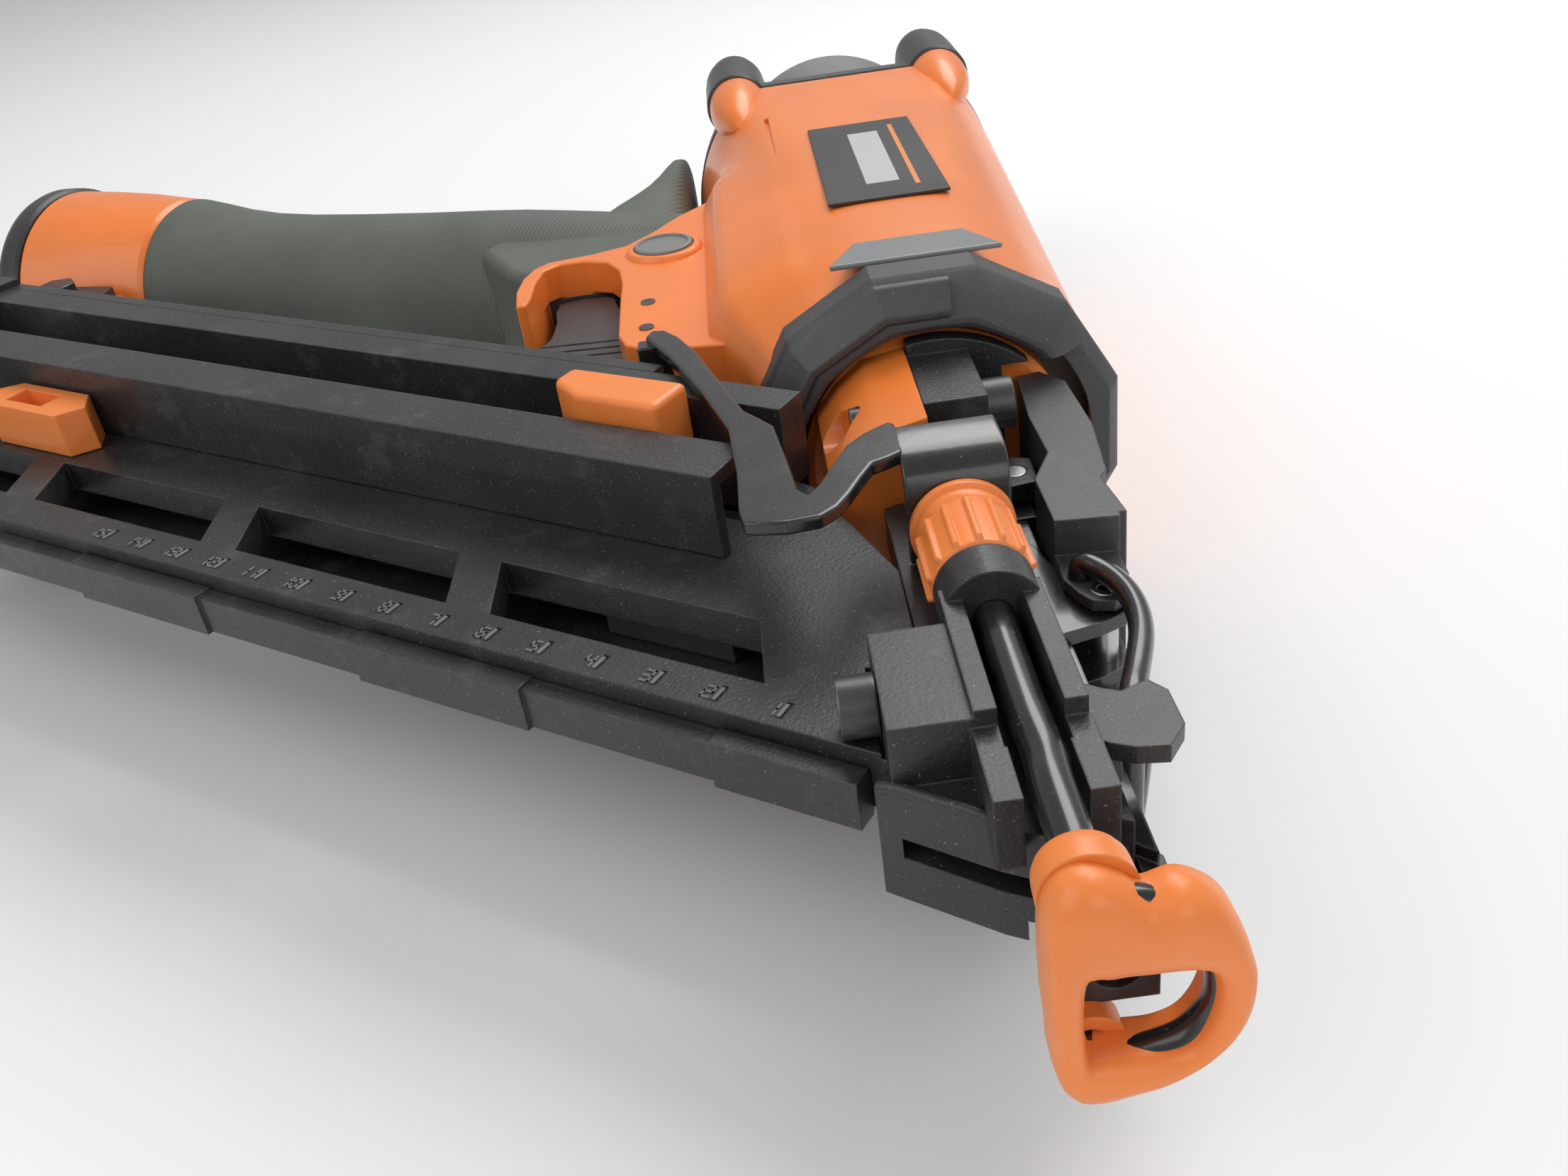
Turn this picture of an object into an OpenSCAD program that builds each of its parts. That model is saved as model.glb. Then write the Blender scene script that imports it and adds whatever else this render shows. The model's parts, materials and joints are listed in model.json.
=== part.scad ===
// Angled pneumatic finish nailer, lying on its left side.
// Frame: X away from the handle, Y from the nail exit towards the cap, Z up (the tool's right side).
// The origin is the nail exit, on the driver's axis, at the nose tip.

/* [Body] */
// Radius of the body where it meets the collar
body_r_low = 33; // [32.6:0.1:33.4]
// Radius of the body's corners where it meets the cap
body_r_high = 41; // [40:0.1:41.2]
// Half width of the body between its flat sides
side_half = 33; // [32:0.1:33.5]
// Y of the joint between body and cap
cap_y = 284; // [280:0.5:286]

/* [Handle] */
// Slope of the handle towards the cap
handle_angle = 21; // [20:0.5:22]
// Distance from the driver's axis to the handle's end, along the handle
handle_len = 232; // [231:0.5:236]
// Radius of the grip's waist
grip_r = 19.8; // [19:0.1:20.5]

/* [Magazine] */
// Angle of the magazine from square to the driver
mag_angle = 34; // [33.9:0.1:34.1]
// Length of the magazine behind tick 0 of its ruler
mag_len = 262; // [255:1:268]
// Half thickness of the magazine casting
mag_half = 9; // [8.8:0.1:9]
// Number of windows in the magazine's side
windows = 4; // [3:1:4]

/* [Contact arm] */
// X of the contact rod
rod_x = -3.7; // [-3.9:0.1:-3.5]
// Height of the contact rod beside the nose
rod_z = 15.3; // [15.2:0.1:15.4]
// Diameter of the contact rod
rod_d = 5.2; // [5:0.1:5.2]
// Number of ribs around the depth knob
knob_ribs = 12; // [10:1:14]

/* [Hidden] */
c34 = cos(mag_angle);
s34 = sin(mag_angle);
orange = [0.90, 0.42, 0.13];
black = [0.09, 0.09, 0.09];
grey = [0.36, 0.37, 0.34];
steel = [0.6, 0.6, 0.62];
hy0 = 212;
tick = [-24, 36];
win_pitch = 57.5;
wire_r = 1.7;
stem_x = -66;
trigger_p = [-51, 172];
lever_p = [14.3, 60.9];
bail_p = [11.8, 64.8];

// A round bar along Y, from y0, between two radii.
module bar_y(y0, h, r1, r2 = 0, x = 0, z = 0, fn = 96)
  translate([x, y0, z]) rotate([-90, 0, 0]) cylinder(h = h, r1 = r1, r2 = r2 > 0 ? r2 : r1, $fn = fn);
// A round bar along Z.
module bar_z(x, y, z0, h, r, fn = 48) translate([x, y, z0]) cylinder(h = h, r = r, $fn = fn);
// A round bar along X.
module bar_x(x0, h, r, y, z, fn = 48) translate([x0, y, z]) rotate([0, 90, 0]) cylinder(h = h, r = r,
  $fn = fn);
// A plate lying in X and Y, between two heights.
module plate(pts, z0, z1) translate([0, 0, z0]) linear_extrude(z1 - z0) polygon(pts);
// The same plate on both sides of the mid-plane.
module plates(pts, z0, z1) { plate(pts, z0, z1); plate(pts, -z1, -z0); }
// A box between two corners.
module box(a, b) translate(a) cube(b - a);
// A section in X and Z, drawn out along Y.
module beam_y(pts, y0, y1)
  translate([0, y0, 0]) rotate([-90, 0, 0]) linear_extrude(y1 - y0) polygon([for (p = pts) [p[0], -p[1]]]);
// Places children along the magazine: x runs to its rear, y towards the body.
module mag() translate([tick[0], tick[1], 0]) rotate([0, 0, 180 - mag_angle]) mirror([0, 1, 0]) children();
// Places children along the handle: x runs to its end, y towards the cap.
module hdl() translate([0, hy0, 0]) rotate([0, 0, 180 - handle_angle]) mirror([0, 1, 0]) children();
// A ring about Y.
module ring_y(y0, h, ro, ri, fn = 96) difference() { bar_y(y0, h, ro, 0, 0, 0, fn); bar_y(y0 - 1, h + 2,
  ri, 0, 0, 0, fn); }
// A hexagon socket screw along +X, its head's face at x.
module socket_x(x, y, z, head_r, head_h, shank_r, shank_l) difference() {
  union() { bar_x(x - head_h, head_h, head_r, y, z); bar_x(x - head_h - shank_l, shank_l + 0.5, shank_r,
    y, z); }
  bar_x(x - head_h * 0.6, head_h, head_r * 0.55, y, z, 6);
}
// A coil spring about Y, drawn as stacked rings with thin posts that tie them into one solid.
module spring_y(y0, y1, r, wire, turns) {
  p = (y1 - y0 - 2 * wire) / (turns - 1);
  for (i = [0 : turns - 1]) translate([0, y0 + wire + i * p, 0]) rotate([-90, 0, 0])
    rotate_extrude($fn = 40) translate([r, 0]) circle(r = wire, $fn = 12);
  for (a = [0, 180]) rotate([0, a, 0]) bar_y(y0 + wire, y1 - y0 - 2 * wire, wire * 0.6, 0, r, 0, 12);
}

// The body's outline: a cone with two flat sides.
module body_form(y0, y1, grow = 0) intersection() {
  bar_y(y0, y1 - y0, body_r_low + grow + (body_r_high - body_r_low) * (y0 - 130) / (cap_y - 130),
    body_r_low + grow + (body_r_high - body_r_low) * (y1 - 130) / (cap_y - 130));
  box([-60, y0, -side_half - grow], [60, y1, side_half + grow]);
}
// Places children at the four bolt lugs.
module lugs() for (sx = [-1, 1], sz = [-1, 1]) translate([sx * 27, 0, sz * 28.5]) children();

module housing() color(orange) difference() {
  union() {
    body_form(130.2, cap_y - 0.2);
    bar_y(122.8, 8, 24);
    lugs() { bar_y(262, cap_y - 270, 2, 7.6); bar_y(cap_y - 8, 7.8, 7.6); }
    beam_y([[-12, 31], [-22, 30.4], [-35, 25], [-39, 19], [-39, -19], [-35, -25], [-22, -30.4], [-12,
      -31]], 144, 236);
    beam_y([[-4.8, 22], [-12, 20], [-21, 12], [-21, -12], [-12, -20], [-4.8, -22]], 94, 124);
    plate(yoke_line, -18.6, 18.6);
    bar_z(-48, 204, -19.8, 39.6, 8.4);
    box([-77, 205.5, -12.5], [-50, 232, 12.5]);
    hdl() rotate([0, 90, 0]) cylinder(h = handle_len - 0.2, r = 15, $fn = 72);
    hdl() band_form();
    plate([hpt(198, -18), hpt(200, -36), hpt(203, -41), hpt(215, -41), hpt(218, -36), hpt(220, -18)], -9,
      9);
  }
  bar_y(131, 160, 29.5);
  bar_y(90, 60, 6);
  hdl() translate([20, 0, 0]) rotate([0, 90, 0]) cylinder(h = 220, r = 11, $fn = 60);
  plate([[-42, 140], [-76.3, 140], [-76.3, 204.4], [-56, 204.4], [-42, 185]], -11, 11);
  bar_y(200, 40, 7.05, 0, stem_x);
  for (y = [158, 172]) bar_z(-51, y, -30, 60, 1.55);
  bar_y(90, 14, 2.9, 0, rod_x, rod_z, 48);
  bar_z(-48, 204, 19, 2, 6.6);
  bar_z(-48, 204, -21, 2, 6.6);
  for (z = [-16, 16]) bar_x(-30, 30, 2.6, 108, z);
  for (s = [-1, 1]) box([-21.2, 138, s * 32 - 2.2], [-19.8, 250, s * 32 + 2.2]);
  lugs() bar_y(262, 30, 2.1);
  end_bolts() translate([-16, 0, 0]) rotate([0, 90, 0]) cylinder(h = 20, r = 1.8, $fn = 24);
  bar_z(bracket_hole()[0], bracket_hole()[1], -20, 40, 3.1);
}
// Outline of the yoke that carries the trigger, with its guard arch.
yoke_line = [[-30, 143], [-44, 145.5], [-51, 147], [-55, 150.5], [-56.6, 156], [-57, 176], [-57, 186],
  [-58, 195],
  [-61, 201.5], [-66, 204.4], [-72, 204.4], [-75.2, 201.5], [-76.4, 194], [-76.6, 184], [-77, 180.5],
    [-80, 180.5],
  [-80.3, 190], [-79.6, 198], [-77.8, 203.6], [-74.6, 207], [-64.5, 208.2], [-57, 211.2], [-51, 218.5],
    [-45, 228],
  [-38, 236], [-30, 238]];
// Places children at the four bolts of the handle's end, seated on its face.
module end_bolts() hdl() for (a = [45 : 90 : 315]) rotate([a, 0, 0]) translate([handle_len, 20.5, 0])
  children();
// The flared end of the handle that the end cap closes.
module band_form() {
  translate([194, 0, 0]) rotate([0, 90, 0]) cylinder(h = 20, r1 = 24.6, r2 = 27.6, $fn = 96);
  translate([214, 0, 0]) rotate([0, 90, 0]) cylinder(h = handle_len - 214.2, r1 = 27.6, r2 = 28.6,
    $fn = 96);
}
function hpt(t, n) = [-t * cos(handle_angle) + n * sin(handle_angle), hy0 + t * sin(handle_angle)
  + n * cos(handle_angle)];
function mpt(m, n) = [tick[0] - m * c34 + n * s34, tick[1] + m * s34 + n * c34];
function bracket_hole() = hpt(209, -35);

module cap() color(black) difference() {
  union() {
    body_form(cap_y, 294);
    bar_y(293, 27, 6.5);
    lugs() { bar_y(cap_y, 31, 8.4); bar_y(cap_y + 31, 6, 8.4, 6.4); }
  }
  bar_y(cap_y - 1, 5, 29.3);
  bar_y(cap_y, 60, 2.6);
  for (a = [0 : 60 : 300]) rotate([0, a, 0]) bar_y(cap_y, 20, 3.2, 0, 13, 0, 32);
  lugs() { bar_y(cap_y - 1, 50, 2.6); bar_y(315, 20, 4.8); }
}
module cap_gasket() color(black) ring_y(cap_y - 2.5, 2.3, 29.3, 26.5);
module cap_screws() color(steel) lugs() difference() {
  union() { bar_y(266, 50, 2.05); bar_y(315.1, 5, 4.5); }
  bar_y(317.5, 4, 2.4, 0, 0, 0, 6);
}
module exhaust_deflector() color(grey) difference() {
  union() { bar_y(296, 4, 28, 30.4); bar_y(300, 23, 30.4); bar_y(323, 6, 30.4, 24); }
  bar_y(295, 25.2, 26);
  bar_y(312, 30, 3.1);
  for (a = [144 : 18 : 216]) rotate([0, a, 0]) box([-2.2, 304, 22], [2.2, 317, 34]);
}
module deflector_screw() color(steel) difference() {
  union() { bar_y(298, 22.1, 2.55); bar_y(320.1, 9.2, 3.05); bar_y(329.2, 3, 6); }
  bar_y(330.6, 3, 2.6, 0, 0, 0, 6);
}
module collar() color(black) difference() {
  union() {
    bar_y(119, 6, 27.2, 32);
    beam_y([for (i = [0 : 11]) 35 * [cos(i * 30 + 15), sin(i * 30 + 15)]], 124.5, 133.5);
  }
  bar_y(118, 9, 24.6, 30.4);
  bar_y(126.8, 10, 33.2);
  box([8, 110, -17.5], [40, 123.4, 17.5]);
}
module collar_inserts() color(grey) for (s = [-1, 1]) difference() {
  plate([[-15.5, 133.7], [15.5, 133.7], [10, 145], [-10, 145]], s > 0 ? 30 : -34.3, s > 0 ? 34.3 : -30);
  body_form(125, 150, 0.1);
}
module name_plate() color([0.2, 0.2, 0.21]) plate([[-12.2, 171], [12.2, 171], [11.6, 230], [-11.8, 230]],
  side_half + 0.05, side_half + 0.65);

module grip_sleeve() color(grey) difference() {
  union() {
    hdl() rotate([0, 90, 0]) {
      translate([0, 0, 91]) cylinder(h = 33, r1 = 20.6, r2 = grip_r, $fn = 96);
      translate([0, 0, 124]) cylinder(h = 40, r1 = grip_r, r2 = 20.2, $fn = 96);
      translate([0, 0, 164]) cylinder(h = 29.6, r1 = 20.2, r2 = 25.2, $fn = 96);
    }
    plate([[-57.3, 211.7], [-64.5, 208.6], [-74.6, 207.4], [-79.4, 205.4], hpt(95, -19.5), hpt(95, 20),
      [-61, 261],
      [-54, 276], [-48, 298], [-42.4, 300], [-42.4, 237], [-45.4, 228.6], [-51.3, 218.9]], -16.5, 16.5);
  }
  hdl() translate([10, 0, 0]) rotate([0, 90, 0]) cylinder(h = 200, r = 15.2, $fn = 72);
  box([-77.2, 200, -12.7], [-49, 232.2, 12.7]);
}
module end_cap() color(black) difference() {
  hdl() translate([handle_len, 0, 0]) rotate([0, 90, 0]) {
    cylinder(h = 5, r = 29.4, $fn = 96);
    translate([0, 0, 5]) cylinder(h = 4, r1 = 29.4, r2 = 25.5, $fn = 96);
    translate([0, 0, 9]) cylinder(h = 3, r1 = 14, r2 = 12.5, $fn = 64);
  }
  hdl() translate([handle_len - 1, 0, 0]) rotate([0, 90, 0]) cylinder(h = 20, r = 6.6, $fn = 48);
  end_bolts() translate([-1, 0, 0]) rotate([0, 90, 0]) {
    cylinder(h = 20, r = 2, $fn = 24);
    translate([0, 0, 6.5]) cylinder(h = 20, r = 3.6, $fn = 32);
  }
}
module end_cap_screws() color(steel) end_bolts() rotate([0, 90, 0]) difference() {
  union() {
    translate([0, 0, -14]) cylinder(h = 20, r = 1.75, $fn = 24);
    translate([0, 0, 5.7]) cylinder(h = 3, r = 3.3, $fn = 32);
  }
  translate([0, 0, 7]) cylinder(h = 3, r = 1.7, $fn = 6);
}
module swivel_collar() color(steel) hdl() translate([handle_len, 0, 0]) rotate([0, 90, 0]) difference() {
  union() {
    translate([0, 0, -6]) cylinder(h = 18, r = 6.5, $fn = 48);
    translate([0, 0, 12.05]) cylinder(h = 6, r = 9.5, $fn = 6);
  }
  translate([0, 0, -8]) cylinder(h = 30, r = 5.05, $fn = 48);
}
module air_plug() color(steel) hdl() translate([handle_len, 0, 0]) rotate([0, 90, 0]) difference() {
  union() {
    translate([0, 0, -4]) cylinder(h = 24, r = 5, $fn = 48);
    translate([0, 0, 18.4]) cylinder(h = 5, r = 8.2, $fn = 6);
    translate([0, 0, 23.4]) cylinder(h = 9, r = 5.9, $fn = 48);
    translate([0, 0, 32.4]) cylinder(h = 2.6, r1 = 5.9, r2 = 3.9, $fn = 48);
    translate([0, 0, 35]) cylinder(h = 10, r = 3.95, $fn = 48);
    translate([0, 0, 40]) cylinder(h = 4, r = 5.2, $fn = 48);
  }
  translate([0, 0, -6]) cylinder(h = 60, r = 2.6, $fn = 32);
}
module cylinder_sleeve() color(steel) difference() {
  union() { bar_y(142, 103, 25); bar_y(196, 5, 29.2); }
  bar_y(140, 110, 22);
  for (a = [0 : 30 : 330]) rotate([0, a, 0]) bar_z(0, 166, 10, 20, 1.5, 16);
}
module cylinder_seals() color(black) { ring_y(150.5, 3, 27.4, 25.1); ring_y(240.5, 3, 27.4, 25.1); }
module head_valve() color([0.75, 0.75, 0.72]) difference() {
  union() { bar_y(245.4, 4, 26); bar_y(249.4, 14, 29.3); bar_y(263.4, 6, 10); }
  bar_y(245, 2, 20);
  bar_y(240, 40, 4);
}
module head_valve_spring() color(steel) spring_y(263.6, 287.9, 18, 1.3, 5);
module piston() color([0.7, 0.7, 0.7]) difference() {
  bar_y(226, 13, 21.93);
  ring_y(230.5, 4, 23, 20);
  bar_y(225, 20, 2.36);
}
module piston_ring() color(black) ring_y(230.7, 3.6, 21.96, 20.05);
module driver_blade() color(steel) union() { bar_y(73, 168.5, 2.3, 0, 0, 0, 32); bar_y(239.1, 2.8, 5, 0,
  0, 0, 32); }
module bumper() color([0.25, 0.2, 0.15]) difference() {
  union() { bar_y(131.1, 10.4, 29.3); bar_y(141.5, 9, 21.6, 19); }
  bar_y(130, 30, 4);
}
module trigger() color([0.16, 0.16, 0.16]) difference() {
  plate([[-46.5, 176], [-45.5, 170], [-47, 164], [-54, 160], [-60, 158.5], [-68, 159], [-76, 161.5], [-82,
    165.5],
    [-84.5, 170], [-83.5, 174], [-80, 175.5], [-76, 176], [-73.5, 180], [-73, 190], [-73, 201], [-62,
      201.5],
    [-60, 196], [-57, 186], [-50, 179.5]], -10.6, 10.6);
  bar_z(trigger_p[0], trigger_p[1], -20, 40, 1.55);
  plate([[-60, 150], [-60, 186], [-64, 196], [-70, 196], [-70, 178], [-62, 150]], -7.4, 7.4);
}
module yoke_pins() color(steel) for (y = [158, 172]) bar_z(-51, y, -18.9, 37.8, 1.5, 24);
module pivot_disc() color(grey) for (z = [19.05, -20.4]) difference() {
  bar_z(-48, 204, z, 1.35, 6.5);
  bar_z(-48, 204, z > 0 ? z + 0.9 : z - 0.1, 0.6, 5.4);
}
module valve_body() color(black) difference() {
  union() { bar_y(204.6, 26, 7, 0, stem_x); }
  bar_y(200, 40, 2.05, 0, stem_x);
}
module valve_stem() color(steel) union() { bar_y(201.9, 32, 2, 0, stem_x, 0, 32); bar_y(232.6, 1.6, 4.6,
  0, stem_x, 0, 32); }
// The nose: driver guide, rod channel, screw boss, flange lugs, latch hooks and spring post.
module nose_casting() color(black) difference() {
  union() {
    plate([[5.4, 13], [5.4, 120], [-4.6, 120], [-4.6, 93.7], [-13.2, 91], [-13.2, 25.5], [-11, 21]], -8.6,
      8.6);
    plate([[4.6, 0], [4.6, 14], [-12.5, 24], [-12.5, 21.8], [-4, 15], [-4, 0]], -4.6, 4.6);
    intersection() { bar_y(119.2, 3.4, 24); box([-4.6, 110, -30], [30, 130, 30]); }
    beam_y([[-4.6, 21.5], [5.8, 21.5], [5.8, -21.5], [-4.6, -21.5]], 100, 120);
    for (x = [[-10.4, -7.6], [0.2, 3]]) { box([x[0], 24, 8], [x[1], 50, 18.5]); box([x[0] - 0.3, 11, 6],
      [x[1] + 0.3, 24, 16]); }
    bar_y(47, 7, 6.9, 0, rod_x, rod_z, 48);
    box([-20.5, 24, 8.4], [-10, 44, 17.4]);
    plate([[-22.6, 24.8], [-19.9, 28.8], [-15.2, 25.6], [-13.1, 28.6], [-13.1, 33], [-4.6, 33], [-4.6,
      12.4],
      [-9.4, 15.1]], -8.6, 8.6);
    bar_y(86, 7.6, 5.6, 0, rod_x, rod_z, 48);
    box([-8.6, 86, 8], [1.2, 93.6, 15]);
    plates([[4, 20], [7, 18.5], [10.8, 18], [13.4, 21.5], [13.4, 28], [11.6, 30.5], [8, 29], [4, 31]],
      12.1, 14.6);
    plates([[2, 20], [6, 20.5], [6, 30], [2, 33]], 8, 14.6);
    plates([[5, 34.3], [11, 34.3], [11, 37.2], [5, 37.2]], 4.8, 7.6);
    plates([[5, 92], [12, 93], [12.4, 101], [5, 104]], 5.3, 8.6);
  }
  bar_y(-1, 130, 2.36, 0, 0, 0, 48);
  bar_y(-1, 9, 2.75, 0, 0, 0, 48);
  box([-20, 8, -1.6], [0, 92, 1.6]);
  box([0, 12.4, -2.36], [6, 78, 2.36]);
  bar_y(40, 70, rod_d / 2 + 0.06, 0, rod_x, rod_z, 48);
  bar_y(54.1, 26, 8.1, 0, rod_x, rod_z, 64);
  box([-7.6, 20, 12.2], [0.2, 46.9, 19]);
  bar_x(-21, 14, 2.6, 34.8, 13.2);
  for (z = [-16, 16]) bar_x(-10, 20, 2.6, 108, z);
  bar_z(9, 97.5, -20, 40, 2.05);
  box([11.6, 110, -17.6], [40, 130, 17.6]);
  box([-6.9, 10, -12], [-0.5, 32, -5.4]);
  for (y = [58, 78]) bar_z(-9.4, y, -10, 16.2, 1.6, 24);
}
module neck_screws() color([0.2, 0.2, 0.2]) for (z = [-16, 16]) socket_x(11, 108, z, 4.3, 5.1, 2.5, 22);
module boss_screw() color([0.2, 0.2, 0.2]) mirror([1, 0, 0]) socket_x(25.5, 34.8, 13.2, 4, 4.8, 2.5, 11);
module magazine_bolts() color([0.2, 0.2, 0.2]) for (y = [58, 78]) {
  bar_z(-9.4, y, -8.8, 14.8, 1.55, 24);
  bar_z(-9.4, y, -10.1, 1.4, 2.8, 24);
}
// The jam door: front plate, cheeks for the latch and the hinge knuckle.
module door() color(black) difference() {
  union() {
    plate([[5.7, 14], [7.9, 12], [7.9, 56], [9, 58], [9, 94], [5.7, 94]], -4.4, 4.4);
    plate([[5.7, 4], [7, 4], [7.9, 14], [5.7, 16]], -2.6, 2.6);
    plates([[5.7, 54], [12.5, 55.6], [16.6, 57.5], [18, 60.9], [16.6, 64.6], [10, 68.5], [8, 78], [5.7,
      82]], 3.6, 5.9);
    bar_z(9, 97.5, -5, 10, 3.3);
    box([5.7, 88, -5], [10.5, 97, 5]);
  }
  bar_z(9, 97.5, -20, 40, 2.05);
  bar_z(lever_p[0], lever_p[1], -20, 40, 2.05);
}
module door_pin() color(steel) bar_z(9, 97.5, -8.5, 17, 2);
module latch_pin() color(steel) difference() {
  bar_z(lever_p[0], lever_p[1], -8.1, 16.2, 2, 32);
  bar_z(lever_p[0], lever_p[1], -12, 24, 1, 24);
}
module latch_lever() color([0.25, 0.25, 0.25]) difference() {
  union() {
    plates([[9.6, 68], [9.4, 64.4], [10.6, 60.6], [12, 58.2], [15, 57.4], [17.6, 59], [18.6, 64], [18.6,
      76], [9.6, 76]], 6.2, 8);
    plates([[9.6, 71], [19, 70], [19.2, 82], [20.4, 84], [22.4, 100], [22, 117], [18.6, 122.3], [14.6,
      121.4], [13.2, 106],
      [13.4, 92], [9.6, 84]], 6.2, 14);
    plate([[9.6, 72], [20.2, 71], [19.2, 82], [20.6, 84], [21.4, 93], [13.4, 92], [9.6, 84]], -14, 14);
    plate([[18.4, 84], [20.6, 84], [22.4, 100], [22, 117], [18.6, 122.3], [14.6, 121.4], [15, 117], [18,
      112]], -14, 14);
    for (y = [99, 108]) box([14.6, y, -7], [19.4, y + 1.6, 7]);
  }
  bar_z(lever_p[0], lever_p[1], -20, 40, 2.05);
  bar_z(bail_p[0], bail_p[1], -9, 18, 1.75);
}
module bail_wire() color(black) {
  plates([[10.1, 63.8], [10.1, 65.6], [11.4, 66.6], [13.2, 66.2], [15.8, 62.9], [17.9, 52.8], [15.9,
    42.4], [11.6, 30.4],
    [9.9, 29.3], [8.2, 31], [12.5, 43.7], [14.5, 52.7], [12.6, 61.2]], 8.3, 11.7);
  for (z = [-11, 6.3]) bar_z(bail_p[0], bail_p[1], z, 4.7, wire_r, 24);
  bar_z(9.9, 31, -11.7, 23.4, wire_r, 24);
}
module contact_bracket() color(black) difference() {
  union() {
    plate([[3.9, 74.2], [3.9, 84], [1.5, 85.6], [-13, 86], [-18.6, 81], [-23.6, 70], [-26.4, 69.6],
      [-28.6, 91],
      [-33, 98], [-40.4, 125], [-46, 137], [-49.5, 135], [-45, 124], [-35.7, 92], [-35, 66], [-33, 61.5],
        [-24, 61],
      [-19.4, 66.5], [-15.4, 74.2]], 23.6, 25.8);
    box([-11.4, 71.9, 9], [3.9, 74.3, 25.8]);
    box([-51.4, 132.6, 11.4], [-45.2, 137, 25.8]);
  }
  bar_y(60, 20, rod_d / 2 + 0.06, 0, rod_x, rod_z, 48);
}
module depth_knob() color(orange) difference() {
  union() {
    bar_y(69.4, 2.2, 7.7, 0, rod_x, rod_z, 64);
    bar_y(67.8, 1.8, 6.9, 0, rod_x, rod_z, 64);
    bar_y(54.4, 13.5, 7, 0, rod_x, rod_z, 64);
    for (i = [0 : knob_ribs - 1]) translate([rod_x, 0, rod_z]) rotate([0, i * 360 / knob_ribs, 0]) box([6,
      54.4, -0.7], [7.8, 68, 0.7]);
  }
  bar_y(50, 30, rod_d / 2 + 0.06, 0, rod_x, rod_z, 48);
}
module contact_rod() color(black) {
  bar_y(-5.9, 90.4, rod_d / 2, 0, rod_x, rod_z, 48);
  beam_y([[-6.3, 12.7], [-6.3, 17.6], [-1.1, 17.6], [4.9, 15.6], [8.6, 11.6], [10.8, 5.8], [11, 1], [9.6,
    -3.4], [6.8, -6.9],
    [3, -9.2], [-1.1, -10.8], [-6.3, -10.8], [-6.3, -5.7], [-1.1, -6.4], [0.6, -6.9], [3, -6.6], [5.4,
      -5], [7.5, -1.8],
    [8, 2.4], [7.2, 5], [5.8, 8.6], [3.2, 11.4], [-0.4, 12.6]], -6, -2.2);
  bar_y(-5.9, 27.9, rod_d / 2, 0, rod_x, -8.2, 48);
}
module no_mar_pad() color(orange) difference() {
  beam_y([[-9, 4], [-8.9, 14], [-7, 18], [-3.7, 19.2], [0, 18.4], [5.6, 17.2], [9.8, 12.5], [12.4, 6],
    [12.6, 1], [11, -4],
    [7.7, -8], [3.5, -10.8], [-0.8, -12], [-3.7, -12.6], [-6.8, -11.8], [-8, -8], [-8, -3], [-9, -1]], -8,
      -0.6);
  beam_y([[-4, 5.3], [7.4, 5.3], [8.4, 2.4], [7.9, -1.6], [5.8, -4.6], [3.2, -6.2], [0.6, -6.4], [-0.6,
    -5.2], [-4, -5.2]], -9, 1);
  beam_y([[-6.4, 12.5], [-6.4, 18], [-1.1, 18], [5, 15.7], [8.7, 11.7], [10.9, 5.8], [11.1, 1], [9.7,
    -3.5], [6.9, -7],
    [3, -9.3], [-1.1, -10.9], [-6.4, -10.9], [-6.4, -5.6], [-0.6, -5.3], [0.6, -6.6], [3, -6.4], [5.2,
      -4.8], [7.3, -1.6],
    [7.8, 2.4], [7, 5.2], [5.6, 8.4], [3, 11.2], [-0.4, 12.4]], -6.1, 1);
}
module contact_spring() color(steel) translate([rod_x, 0, rod_z]) spring_y(74.5, 85.8, 4.2, 0.7, 5);

module magazine_body() color(black) mag() difference() {
  union() {
    linear_extrude(mag_half) polygon([[-13, -3.2], [mag_len, -3.2], [mag_len, 60], [70, 60], [36, 54], [4,
      30], [-13, 4]]);
    translate([0, 0, -7]) linear_extrude(7.5) polygon([[-13, 5], [mag_len, 5], [mag_len, 60], [70, 60],
      [36, 54], [4, 30]]);
    translate([40, 53, 8]) cube([mag_len - 40, 7, 15]);
  }
  translate([-30, 1.6, -3]) cube([mag_len + 26, 55, 6]);
  translate([40, 40.5, -1]) cube([mag_len - 48, 12.4, 30]);
  for (i = [0 : windows - 1]) translate([win_pitch * i, 0, 0])
    linear_extrude(12) polygon([[15.5, 4.2], [64, 4.2], [72.5, 17], [24, 17]]);
  for (k = [0 : 15]) translate([k * 10 - 0.5, -1.6, 8.5]) cube([1, 3.4, 1]);
  nose_space();
}
// The room the nose takes at the magazine's front.
module nose_space() mirror([0, 1, 0]) rotate([0, 0, mag_angle - 180]) translate([-tick[0], -tick[1], 0]) {
  translate([-13.4, -50, -60]) cube([80, 200, 120]);
  translate([-21, 23.4, 8.2]) cube([20, 25, 20]);
}
module far_rail() color(black) mag() difference() {
  translate([70, 60.2, -7]) cube([mag_len - 70, 3, 30]);
  for (m = [90, 150]) translate([m, 50, 0]) rotate([-90, 0, 0]) cylinder(h = 30, r = 1.7, $fn = 24);
}
module lower_rail() color(black) mag() {
  translate([-4, -6.4, -0.5]) cube([mag_len + 4, 3, 6.5]);
  for (m = [-4, 50, 120, 190]) translate([m, -7, -0.9]) cube([m < 0 ? 22 : 34, 3.4, 7.4]);
}
module magazine_cover() color(black) mag() {
  translate([38, 29.4, 9.2]) cube([mag_len - 40, 2.2, 12.4]);
  translate([38, 29.4, 21]) cube([mag_len - 40, 10.6, 2.2]);
}
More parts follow.
